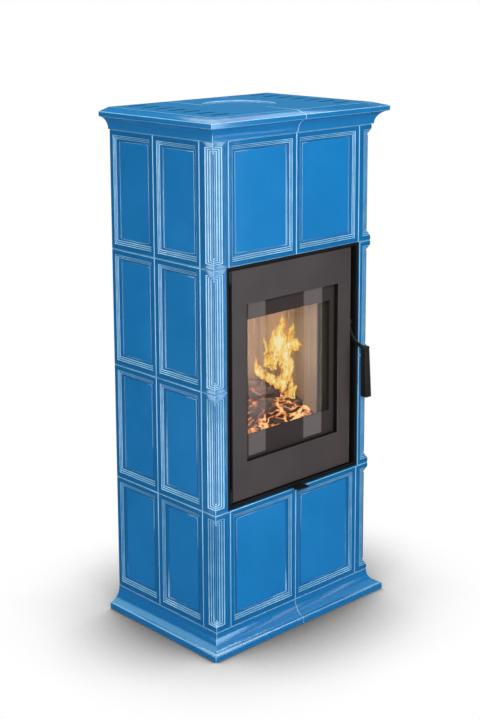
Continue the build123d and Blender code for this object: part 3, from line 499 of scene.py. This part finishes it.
tile_tree = relief_tile_tree()
tile_pattern = {"Thickness": 0.022, "Rim round": 0.002, "Reeds": 4.0, "Pitch across": 0.0036,
                "Pitch along": 0.0036, "Reed drop": 0.0020, "Reed swell": 0.0012, "Foot": 0.0008,
                "Arris round": 0.003, "Folded": 0.0, "Last reed": 0.4, "Finish": tile_glaze}
tile_border = 0.010
firings = random.Random(5)
low_courses, low_shade = 0.5, 0.12  # side tiles up to this height are painted darker by this, as painted shade


def lay(node, sizes, place):
    """Relief tile of these sizes in place of its CAD node."""
    mesh = grown(node, tile_tree, sizes, place)
    set_shell(mesh)
    set_piece("glazed_" + node, mesh, "stove", "glazed_tiles", node)


def lay_field_tile(node, quarter_turns):
    """Flat tile; quarter turns bring its face from the front to a side."""
    low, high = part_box(node)
    middle = (low + high) / 2
    turned = Matrix.Rotation(quarter_turns * math.pi / 2, 4, "Z")
    outwards = turned @ Vector((0, -1, 0))
    face = middle + Vector(
        (outwards.x * (high.x - low.x) / 2, outwards.y * (high.y - low.y) / 2, 0))
    width = high.x - low.x if quarter_turns == 0 else high.y - low.y
    height = high.z - low.z
    # Low side tiles are painted darker: painted shade for light that falls off downwards.
    low_painted_shade = low_shade if quarter_turns and low.z < low_courses else 0.0
    own = {"Height": height, "Left reach": width / 2, "Right reach": width / 2,
           "Relief reach": width / 2 - tile_border, "Relief height": height / 2 - tile_border,
           "Firing": firings.uniform(-0.1, 0.1) - low_painted_shade}
    lay(node, {**tile_pattern, **own}, Matrix.Translation(face) @ turned)


for node in sorted(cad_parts):
    for start_of_name, quarter_turns in (
            ("front_tile", 0), ("side_tile_left", -1), ("side_tile_right", 1)):
        if node.startswith(start_of_name):
            lay_field_tile(node, quarter_turns)

# ---------------------------------------------------------------- glazed corner tiles
# One piece of clay wraps each front corner in every course. Four reeds on each leg step in
# towards the arris and close in nested angles above and below, between two full lips.
corner_pattern = {**tile_pattern, "Folded": 1.0, "Relief reach": 0.027, "Pitch across": 0.0053,
                  "Reed drop": 0.0018, "Reed swell": 0.0009, "Foot": 0.0004, "Arris round": 0.0016,
                  "Last reed": 0.0}

for row in range(1, 5):
    for side, turns in (("left", 0), ("right", 1)):
        node = f"corner_tile_{side}_row{row}"
        low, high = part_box(node)
        front_leg = high.x - low.x
        side_leg = high.y - low.y
        legs = (side_leg, front_leg) if side == "left" else (front_leg, side_leg)
        arris = Vector((low.x if side == "left" else high.x, low.y, (low.z + high.z) / 2))
        place = Matrix.Translation(arris) @ Matrix.Rotation(turns * math.pi / 2, 4, "Z")
        height = high.z - low.z
        own = {"Height": height, "Left reach": legs[0], "Right reach": legs[1],
               "Relief height": height / 2 - tile_border, "Firing": firings.uniform(-0.08, 0.08)}
        lay(node, {**corner_pattern, **own}, place)

# ---------------------------------------------------------------- glazed plinth, cornice and top
# Cast clay mouldings under the same glaze, in two halves that meet at the middle of the
# front and in a mitre at the corners. Every arris is rounded by the glaze and runs pale,
# partly from thin glaze and partly as painted highlight.
moulding_glaze = glaze("glazed_mouldings", tone("1271ad"), tone("1a80bf"), tone("b4dff6"), 14.0)


def eased(node, width, segments, crisp):
    """Copy of a CAD node's mesh with its convex edges rounded, and those edges marked as ridge.

    Edges at places that crisp picks out stay as they are."""
    shape = bmesh.new()
    shape.from_mesh(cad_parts[node].data)
    flat, rounded, sharp = math.radians(0.6), math.radians(35), math.radians(38)
    least, most = math.radians(16), math.radians(27)  # bends at which the ridge starts and is full
    bmesh.ops.remove_doubles(shape, verts=shape.verts, dist=0.00001)
    bmesh.ops.dissolve_limit(shape, angle_limit=flat, verts=shape.verts, edges=shape.edges)
    convex = [e for e in shape.edges if e.is_manifold
              and e.calc_face_angle_signed(0.0) > rounded
              and not (crisp and crisp(e.verts[0].co) and crisp(e.verts[1].co))]
    if width:
        bmesh.ops.bevel(shape, geom=convex, offset=width, offset_type="OFFSET", segments=segments,
                        profile=0.5, affect="EDGES", clamp_overlap=False)
    shape.edges.ensure_lookup_table()
    crests = []
    for vertex in shape.verts:
        bend = max([e.calc_face_angle_signed(0.0) for e in vertex.link_edges if e.is_manifold] or [0])
        crest = min(max((bend - least) / (most - least), 0.0), 1.0)
        crests.append(0.0 if crisp and crisp(vertex.co) else crest)
    mesh = bpy.data.meshes.new(node)
    shape.to_mesh(mesh)
    shape.free()
    mesh.attributes.new("ridge", "FLOAT", "POINT").data.foreach_set("value", crests)
    mesh.shade_smooth()
    mesh.set_sharp_from_angle(angle=sharp)
    return mesh


def set_eased(node, material, body, slot, width, segments=3, crisp=None):
    """Puts the rounded copy of a CAD node in its place."""
    mesh = eased(node, width, segments, crisp)
    mesh.materials.append(material)
    piece = set_piece("fine_" + node, mesh, body, slot, node)
    piece.modifiers.new("even_shading", "WEIGHTED_NORMAL").keep_sharp = True


# Warm-air slots: half length, half width, place of a row and of its middle slot, spacing.
slot_half, slot_half_width, slot_x, slot_y, slot_pitch = 0.024, 0.0045, 0.179, 0.006, 0.0435
slots_half, slots_front, slots_rear = 3.5, -0.132, 0.144  # half their number, ends of a row
body_half, body_front, top_height = 0.236, -0.165, 1.137
cover_low, cover_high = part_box("flue_cover")
cover_y, cover_radius = (cover_low.y + cover_high.y) / 2, (cover_high.x - cover_low.x) / 2


def in_slot(spot):
    """Whether a point is on the edge or wall of a warm-air slot."""
    return abs(abs(spot.x) - slot_x) < slot_half + 0.001 and slots_front < spot.y < slots_rear


def top_detail(place):
    """Painted highlight round the raised middle of the top and its cover; painted shade in the slots.
    """
    line_half, line_end, lip_half, slot_edge, skin = 0.0011, 0.0012, 0.0016, 0.0008, 0.003
    x = place.separate("X").math("ABSOLUTE")
    y = place.separate("Y")
    upmost = place.separate("Z") > top_height - skin
    along = (x - body_half).math("ABSOLUTE") < line_half
    across = (y - body_front).math("ABSOLUTE") < line_half
    inside = (x < body_half + line_end) * (y > body_front - line_end)
    crease_highlight = along.math("MAXIMUM", across) * inside * upmost
    out = (x * x + (y - cover_y) * (y - cover_y)).math("SQRT")
    lip = (out - cover_radius).math("ABSOLUTE") < lip_half
    crease_highlight = crease_highlight.math("MAXIMUM", lip * upmost * 0.4)
    row = ((y - slot_y) / slot_pitch).math("ROUND")
    off = y - slot_y - row * slot_pitch
    in_x = (x - slot_x).math("ABSOLUTE") < slot_half + slot_edge
    in_y = off.math("ABSOLUTE") < slot_half_width + slot_edge
    return crease_highlight, in_x * in_y * (row.math("ABSOLUTE") < slots_half)


for node in ("plinth_left", "plinth_right"):
    set_eased(node, moulding_glaze, "stove", "glazed_mouldings", 0.0012)
top_glaze = glaze("glazed_top", tone("1473b0"), tone("1c83c3"), tone("b4dff6"), 14.0, top_detail)
for node in ("top_tile_left", "top_tile_right", "top_rear_insert", "flue_cover"):
    set_eased(node, top_glaze, "stove", "glazed_mouldings", 0.0012, crisp=in_slot)

# ---------------------------------------------------------------- steelwork of the body
# Folded sheet: base frame with its feet, casing, rear panel, firebox and ash pan, with a cast
# grate. Painted black or grey, but for the zinc-coated pan and the bright feet.


def painted_steel(name, colour, rough, grit, shade_behind=None, shade_left=None, gloss=0.14):
    """Sheet steel under heat-proof paint: fine orange peel, faint dust and worn edges.

    What lies behind the given depth or left of the given side is painted black: painted shade."""
    material, start = blank_material(name)
    place = start.place()
    cloud = place.grain(6.0, 3.0, 0.6)
    peel = place.grain(1400.0, 2.0, 0.6)
    shade = (cloud * 0.7 + peel * 0.3).between(0.25, 0.75).tint(
        toned(colour, 0.72), toned(colour, 1.4, 0.002))
    if shade_behind is not None:
        # Painted shade: the window's reveal and the gap at the leaf's hinge edge are painted black.
        in_painted_shade = (place.separate("Y") > shade_behind) + (place.separate("X") < shade_left)
        shade = (in_painted_shade > 0.5).tint(shade, tone("080707"))
    worn = (start.attribute("ridge") * (0.4 + cloud)).between(0.3, 2.4)
    coated(start, **{"Base Color": worn.tint(shade, toned(colour, 1.9, 0.006)),
                     "Roughness": rough + (cloud - 0.5) * 0.14,
                     "Normal": peel.bump(grit, 0.0006), "Specular IOR Level": gloss})
    return material


def bare_metal(name, colour, rough, along):
    """Bare metal with fine lines along one axis and a little tarnish."""
    material, start = blank_material(name)
    place = start.place()
    drawn = place.node("ShaderNodeMapping", None, {"Vector": place, "Scale": along})
    lines = drawn.grain(160.0, 3.0, 0.6)
    stain = place.grain(25.0, 3.0, 0.55)
    shade = (lines * 0.6 + stain * 0.4).between(0.3, 0.7).tint(toned(colour, 0.7), colour)
    coated(start, **{"Base Color": shade, "Roughness": rough + (stain - 0.5) * 0.2,
                     "Metallic": 0.9, "Normal": lines.bump(0.15, 0.0004)})
    return material


body_black = painted_steel("body_black", tone("2b2a2a"), 0.55, 0.25)
zinc_sheet = bare_metal("zinc_sheet", tone("59524f"), 0.5, (1, 1, 0.1))
bright_steel = bare_metal("bright_steel", tone("6f6966"), 0.4, (0.2, 1, 1))
fire_steel = painted_steel("fire_steel", tone("3b3835"), 0.72, 0.35)
cast_iron = painted_steel("cast_iron", tone("33302e"), 0.78, 0.6)


def dress(node, material):
    """Gives a CAD node its finish and leaves its shape."""
    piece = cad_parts[node]
    piece.data.materials.clear()
    piece.data.materials.append(material)


set_eased("base_frame", body_black, "stove", "stove_steel", 0.0006, 2)
set_eased("rear_panel", body_black, "stove", "stove_steel", 0.0004, 1)
set_eased("levelling_feet", bright_steel, "stove", "bright_steel", 0.0005, 2)
set_eased("casing", body_black, "stove", "stove_steel", 0.0, 1)
set_eased("firebox", fire_steel, "stove", "stove_steel", 0.0008, 2)
set_eased("grate", cast_iron, "stove", "grate_iron", 0.0012, 2)
set_eased("ash_pan", zinc_sheet, "stove", "pan_steel", 0.0004, 1)
set_eased("flue_blanking_cap", body_black, "stove", "flue_steel", 0.0006, 2)
set_eased("flue_collar", body_black, "stove", "flue_steel", 0.0006, 2)

# ---------------------------------------------------------------- lining
# Pressed vermiculite bricks: warm grey buff, granular, fluted towards the fire, smoked
# brown round the logs, burnt clean above them and black along the front ends.


def vermiculite(name):
    """Granular brick, browner below and black along its front ends."""
    smoked_to, clean_from = 0.40, 0.56
    black_ends_from, black_ends_to = -0.108, -0.104
    material, start = blank_material(name)
    place = start.place()
    flakes = place.cells(420.0)
    cloud = place.grain(14.0, 4.0, 0.6)
    clean = (place.separate("Z") + (cloud - 0.5) * 0.12).between(smoked_to, clean_from)
    base = clean.tint(tone("6a5a50"), tone("b3a498"))
    shade = (flakes * 0.8 + cloud * 0.5).between(0.2, 0.9).tint(tone("8b7a6d"), base)
    shade = place.separate("Y").between(black_ends_from, black_ends_to).tint(tone("0c0a0a"), shade)
    coated(start, **{"Base Color": shade, "Roughness": 0.88 + cloud * 0.1,
                     "Normal": flakes.bump(0.35, 0.0008)})
    return material


brick_finish = vermiculite("vermiculite_brick")
for node in ("lining_brick_left", "lining_brick_right", "lining_brick_rear", "lining_floor", "baffle"):
    set_eased(node, brick_finish, "stove", "refractory", 0.0010, 2)

# ---------------------------------------------------------------- door frame
# Angle-section steel frame set into the tiled front, with two hinge pins on its left side
# and the keeper of the latch on its right.
leaf_face, leaf_left = -0.1572, -0.1803  # just behind the leaf's face, just inside its left edge
# The leaf's paint is black behind its face and along its hinge edge: painted shade in the window's
# reveal and in the gap.
door_grey = painted_steel("door_grey", tone("393030"), 0.5, 0.3, leaf_face, leaf_left)
# The frame is the same anthracite steel as the door; its near-black paint is painted shade.
frame_brown = painted_steel("frame_brown", tone("0d0b0a"), 0.5, 0.3, gloss=0.04)
set_eased("door_frame", frame_brown, "stove", "door_steel", 0.0007, 2)
set_eased("hinge_pins", frame_brown, "stove", "door_steel", 0.0004, 2)
set_eased("latch_keeper", frame_brown, "stove", "door_steel", 0.0004, 2)

# ---------------------------------------------------------------- door leaf and window
# Folded steel leaf painted dark grey; a heat-proof pane printed with a dark border sits
# behind its window on clips, and a braided rope seals it all round.
set_eased("door_leaf", door_grey, "door", "door_steel", 0.0009, 3)
set_eased("glass_clips", bright_steel, "door", "bright_steel", 0.0004, 1)
set_eased("glass_screws", bright_steel, "door", "bright_steel", 0.0004, 2)
set_eased("handle_pivot_bolt", bright_steel, "door", "bright_steel", 0.0004, 2)

pane, start = blank_material("window_glass")
place = start.place()
opening_half, opening_low, opening_top = 0.139, 0.402, 0.744
print_side, print_low, print_top = 0.014, 0.053, 0.038  # how far the border reaches in
x = place.separate("X")
z = place.separate("Z")
clear_half = opening_half - print_side
clear = ((x > -clear_half) * (x < clear_half)) * (
    (z > opening_low + print_low) * (z < opening_top - print_top))
print_grain = place.grain(1500.0, 1.0)
printed = start.node("ShaderNodeBsdfPrincipled", None, {
    "Base Color": print_grain.tint(tone("362f2f"), tone("3f3837")), "Roughness": 0.02,
    "Specular IOR Level": 0.2})
see_through = start.node("ShaderNodeBsdfTransparent", None, {"Color": (0.96, 0.94, 0.91, 1)})
mirror = start.node("ShaderNodeBsdfGlossy", None, {"Color": (1, 1, 1, 1), "Roughness": 0.015})
facing_in = start.node("ShaderNodeNewGeometry", None, None, "Backfacing")
glance = start.node("ShaderNodeFresnel", None, {"IOR": 1.45}) * (1 - facing_in) * 0.4
glass_face = start.node("ShaderNodeMixShader", None, {0: glance, 1: see_through, 2: mirror})
pane_face = start.node("ShaderNodeMixShader", None, {0: clear, 1: printed, 2: glass_face})
start.node("ShaderNodeOutputMaterial", None, {"Surface": pane_face})
dress("door_glass", pane)

rope_finish, start = blank_material("braided_rope")
place = start.place()
strands = place.cells(330.0)
rope_shade = (strands * 0.8 + place.grain(900.0, 2.0) * 0.4).between(0.2, 0.9).tint(
    tone("8d8a84"), tone("3c3a38"))
coated(start, **{"Base Color": rope_shade, "Roughness": 0.95, "Normal": strands.bump(0.8, 0.001)})
dress("door_rope_seal", rope_finish)

# ---------------------------------------------------------------- handle
# Drop handle: a curved steel arm leaves the gap beside the leaf and carries a tapered grip.
# Both are painted black and turn together on the bolt in the leaf's edge.
handle_black = painted_steel("handle_black", tone("151313"), 0.42, 0.35, gloss=0.1)
set_eased("handle_lever", handle_black, "handle", "lever_steel", 0.0008, 3)
set_eased("handle_grip", handle_black, "handle", "handle_black", 0.0018, 4)

# ---------------------------------------------------------------- air lever
# Flat steel slide under the frame: one small black tab that sets the air. It rides a body of
# its own, which slides sideways.
set_eased("air_lever", handle_black, "air_control", "lever_steel", 0.0005, 2)

# ---------------------------------------------------------------- charge of burning logs
# Split logs charred over a bed of embers on the grate, with glowing cracks; the flames are
# drawn on a bowed sheet and a flat one as tapered tongues whose outlines noise has torn.
charred, start = blank_material("charred_log")
place = start.place()
bend = place.node("ShaderNodeTexNoise", None, {"Vector": place, "Scale": 26.0, "Detail": 3.0}, "Color")
bent = bend.vector("MULTIPLY_ADD", (0.06, 0.06, 0.05), place)
stretched = bent.node("ShaderNodeMapping", None, {"Vector": bent, "Scale": (0.5, 1.0, 1.5)})
crazed = place.node("ShaderNodeTexVoronoi", {"feature": "DISTANCE_TO_EDGE"},
                    {"Vector": stretched, "Scale": 40.0})
low_down = 1 - place.separate("Z").between(0.462, 0.502)
width = (place.grain(20.0, 3.0, 0.6) + low_down * 0.22).between(0.53, 0.86) * 0.34
bark = place.grain(30.0, 3.0, 0.6).between(0.35, 0.65).tint(tone("120d0c"), tone("4a3b37"))
glow = (width - crazed).between(0.0, 0.22).ramp(
    (0.0, (0, 0, 0, 1)), (0.15, tone("401005")), (0.42, tone("a84a14")), (0.7, tone("e8913c")),
    (1.0, tone("ffd893")))
coated(start, **{"Base Color": bark, "Roughness": 0.9, "Normal": crazed.bump(0.9, 0.004),
                 "Emission Color": glow, "Emission Strength": 1.0})


def split_log(name, start_point, end_point, radius, seed, wedge):
    """Log between two points: knotty, tapered, and split flat on one side by wedge."""
    line = Vector(end_point) - Vector(start_point)
    turned = line.to_track_quat("Z", "Y").to_matrix().to_4x4()
    turned.translation = Vector(start_point)
    rings, spokes = 26, 30
    points, faces = [], []
    for ring in range(rings + 1):
        share = ring / rings
        for spoke in range(spokes):
            angle = 2 * math.pi * spoke / spokes
            spot = Vector((math.cos(angle), math.sin(angle), share * line.length * 12))
            knots = noise.noise(spot * 1.3 + Vector((seed, 0, 0))) * 0.22
            furrows = noise.noise(Vector((spot.x * 5, spot.y * 5, spot.z * 0.9 + seed))) * 0.10
            reach = radius * (1 + knots + furrows) * (1 - 0.12 * share)
            across = min(reach * math.cos(angle), radius * wedge)
            points.append((across, reach * math.sin(angle), share * line.length))
    for ring in range(rings):
        for spoke in range(spokes):
            other = (spoke + 1) % spokes
            faces.append((ring * spokes + spoke, ring * spokes + other,
                          (ring + 1) * spokes + other, (ring + 1) * spokes + spoke))
    faces.append(tuple(reversed(range(spokes))))
    faces.append(tuple(range(rings * spokes, (rings + 1) * spokes)))
    mesh = bpy.data.meshes.new(name)
    mesh.from_pydata(points, [], faces)
    mesh.transform(turned)
    set_shell(mesh)
    mesh.materials.append(charred)
    set_piece(name, mesh, "stove", "refractory")


# Two ends of each log, its radius, and how far off its middle it is split, in radii.
log_lays = (
    ((-0.112, -0.088, 0.434), (0.112, -0.094, 0.431), 0.026, 0.7),
    ((-0.110, 0.030, 0.436), (0.108, 0.036, 0.432), 0.028, 0.6),
    ((-0.105, -0.030, 0.436), (0.100, -0.026, 0.438), 0.026, 0.7),
    ((-0.108, -0.070, 0.474), (0.074, -0.096, 0.466), 0.024, 0.8),
    ((-0.095, 0.036, 0.484), (0.092, -0.034, 0.478), 0.026, 0.7),
    ((-0.108, -0.022, 0.509), (0.046, -0.056, 0.498), 0.026, 0.9),
)
for number, (tail, head, radius, wedge) in enumerate(log_lays, 1):
    split_log(f"log_{number}", tail, head, radius, 3.7 * number, wedge)

# Embers: lumps strewn over the floor brick and the grate.
ember_finish, start = blank_material("embers")
place = start.place()
lumps = place.cells(120.0)
heat = (place.grain(32.0, 3.0, 0.6) + lumps * 0.25).between(0.5, 0.78)
ember_glow = heat.ramp(
    (0.0, (0, 0, 0, 1)), (0.4, tone("9a2505")), (0.8, tone("f58a1c")), (1.0, tone("ffdc8c")))
coated(start, **{"Base Color": lumps.tint(tone("3a302b"), tone("8c8078")), "Roughness": 0.95,
                 "Emission Color": ember_glow, "Emission Strength": 1.2})


def ember_tree():
    """Lumps of ember on random points of a patch."""
    start, size = empty_tree("ember_bed", ("Half width", "Half depth", "Lump", "Count"))
    line = start.node("GeometryNodeMeshLine", None, {"Count": size["Count"]})
    sway = start.node("ShaderNodeCombineXYZ", None, {
        "X": size["Half width"], "Y": size["Half depth"], "Z": size["Lump"] * 0.6})
    spot = start.node("FunctionNodeRandomValue", {"data_type": "FLOAT_VECTOR"},
                      {0: sway.vector("MULTIPLY", (-1, -1, -1)), 1: sway, "Seed": 11})
    placed = start.node("GeometryNodeSetPosition", None, {"Geometry": line, "Position": spot})
    lump = start.node("GeometryNodeMeshIcoSphere", None, {"Radius": size["Lump"], "Subdivisions": 2})
    twist = start.node("FunctionNodeRandomValue", {"data_type": "FLOAT_VECTOR"},
                       {0: (0, 0, 0), 1: (6.2, 6.2, 6.2), "Seed": 12})
    bulk = start.node("FunctionNodeRandomValue", {"data_type": "FLOAT_VECTOR"},
                      {0: (0.5, 0.5, 0.35), 1: (1.25, 1.0, 0.8), "Seed": 13})
    strewn = start.node("GeometryNodeInstanceOnPoints", None, {
        "Points": placed, "Instance": lump, "Rotation": twist, "Scale": bulk})
    return closed_tree(strewn, size["Finish"])


bed = grown("ember_bed", ember_tree(), {"Half width": 0.112, "Half depth": 0.088, "Lump": 0.009,
                                        "Count": 330.0, "Finish": ember_finish},
            Matrix.Translation((0, -0.018, 0.413)))
set_piece("ember_bed", bed, "stove", "refractory")

flame_finish, start = blank_material("flame")
flow = start.node("ShaderNodeUVMap", {"uv_map": "flow"})
draft = start.node("ShaderNodeAttribute", {"attribute_name": "draft"}, None, "Vector")
place = flow.vector("ADD", draft)


def licked(spot, scale, amount, detail):
    """Moves a spot by noise, so that outlines drawn from it turn ragged."""
    gust = spot.node("ShaderNodeTexNoise", None,
                     {"Vector": place, "Scale": scale, "Detail": detail, "Roughness": 0.6}, "Color")
    gust = gust.vector("SUBTRACT", (0.5, 0.5, 0.5))
    return gust.vector("MULTIPLY_ADD", (amount, amount * 1.5, 0.0), spot)


def tongue(spot, tail, tip, thick, thin):
    """How deep a spot lies in a tapered tongue from tail to tip, less than 0 outside it."""
    run = (tip[0] - tail[0], tip[1] - tail[1], 0.0)
    away = spot.vector("SUBTRACT", (*tail, 0.0))
    share = away.vector("DOT_PRODUCT", run).between(0.0, run[0] ** 2 + run[1] ** 2)
    near = spot.node("ShaderNodeVectorMath", {"operation": "SCALE"}, {0: run, "Scale": share})
    off = away.vector("DISTANCE", near)
    return share * (thin - thick) + thick - off


ragged = licked(licked(licked(flow, 4.5, 0.14, 0.0), 13.0, 0.08, 1.0), 34.0, 0.03, 1.0)

# Tongues in decimetres across and up: tail, tip, and how thick they are at both.
deep = None
for tail, tip, thick, thin in (
        ((0.43, 6.05), (0.46, 6.32), 0.23, 0.20), ((0.46, 6.32), (0.52, 6.74), 0.19, 0.02),
        ((0.62, 6.20), (0.76, 6.60), 0.14, 0.00), ((0.40, 6.10), (0.32, 5.64), 0.18, 0.08),
        ((0.10, 6.28), (0.20, 5.62), 0.02, 0.11), ((0.55, 6.08), (0.80, 6.08), 0.16, 0.17),
        ((0.52, 6.05), (0.60, 5.68), 0.18, 0.16), ((0.60, 5.68), (0.66, 5.54), 0.16, 0.17),
        ((0.62, 5.50), (0.48, 5.20), 0.17, 0.15), ((0.50, 5.16), (0.22, 5.30), 0.13, 0.12),
        ((0.22, 5.30), (0.02, 5.42), 0.12, 0.12), ((0.02, 5.42), (-0.10, 5.86), 0.12, 0.00),
        ((0.50, 5.16), (0.60, 4.94), 0.13, 0.05), ((0.74, 4.84), (0.72, 5.08), 0.07, 0.13),
        ((0.72, 5.08), (0.76, 5.40), 0.12, 0.00)):
    part = tongue(ragged, tail, tip, thick, thin)
    deep = deep.math("SMOOTH_MAX", part, 0.06) if deep else part
drawn = place.node("ShaderNodeMapping", None, {"Vector": ragged, "Scale": (1, 0.35, 1)})
streak = drawn.grain(11.0, 2.0, 0.5, 1.0)
heat = deep * 3.2 + (streak - 0.5) * 2.4 + 0.30
colour = heat.ramp(
    (0.0, tone("c4683a")), (0.2, tone("e89c50")), (0.42, tone("f2c062")), (0.7, tone("f6da82")),
    (1.0, tone("fdf0c0")))
solid = deep.between(0.0, 0.02) * (deep + (streak - 0.5) * 0.6).between(-0.12, 0.04)
coated(start, **{"Base Color": (0, 0, 0, 1), "Roughness": 1.0, "Specular IOR Level": 0.0,
                 "Emission Color": colour, "Emission Strength": 1.0, "Alpha": solid})


def flame_sheet(name, middle, turn, bulge, draft_number):
    """Upright sheet through a point, bowed by bulge; its flow map is in decimetres."""
    columns, rows, left, wide, low, tall = 24, 8, -0.03, 0.135, 0.44, 0.27
    centre, bow_reach = 0.05, 0.0036  # where the bow is deepest, and its reach squared
    points, faces, flows = [], [], []
    for row in range(rows + 1):
        for column in range(columns + 1):
            across = left + wide * column / columns
            out = across - centre
            bow = bulge * (1 - out * out / bow_reach)
            height = low + tall * row / rows
            points.append((middle[0] + out * math.cos(turn) + bow * math.sin(turn),
                           middle[1] + out * math.sin(turn) - bow * math.cos(turn), height))
            flows.append((across * 10, height * 10))
    for row in range(rows):
        for column in range(columns):
            first = row * (columns + 1) + column
            faces.append((first, first + 1, first + columns + 2, first + columns + 1))
    mesh = bpy.data.meshes.new(name)
    mesh.from_pydata(points, [], faces)
    layer = mesh.uv_layers.new(name="flow")
    for corner in mesh.loops:
        layer.data[corner.index].uv = flows[corner.vertex_index]
    mesh.attributes.new("draft", "FLOAT_VECTOR", "POINT").data.foreach_set(
        "vector", [0.0, 0.0, draft_number] * len(points))
    mesh.shade_smooth()
    mesh.materials.append(flame_finish)
    set_piece(name, mesh, "stove", "refractory")


flame_sheet("flames_front", (0.0445, -0.0770), -0.754, 0.010, 0.0)
flame_sheet("flames_across", (0.046, -0.050), 0.7894, 0.0, 7.3)

# A small warm lamp among the flames lights the bricks; gloss does not see it.
fire_lamp = bpy.data.lights.new("fire_light", "POINT")
fire_lamp.energy = 1.7
fire_lamp.color = (1.0, 0.77, 0.58)
fire_lamp.shadow_soft_size = 0.05
glowing = bpy.data.objects.new("fire_light", fire_lamp)
glowing.location = (0.0, -0.06, 0.60)
glowing.visible_glossy = False
scene.collection.objects.link(glowing)
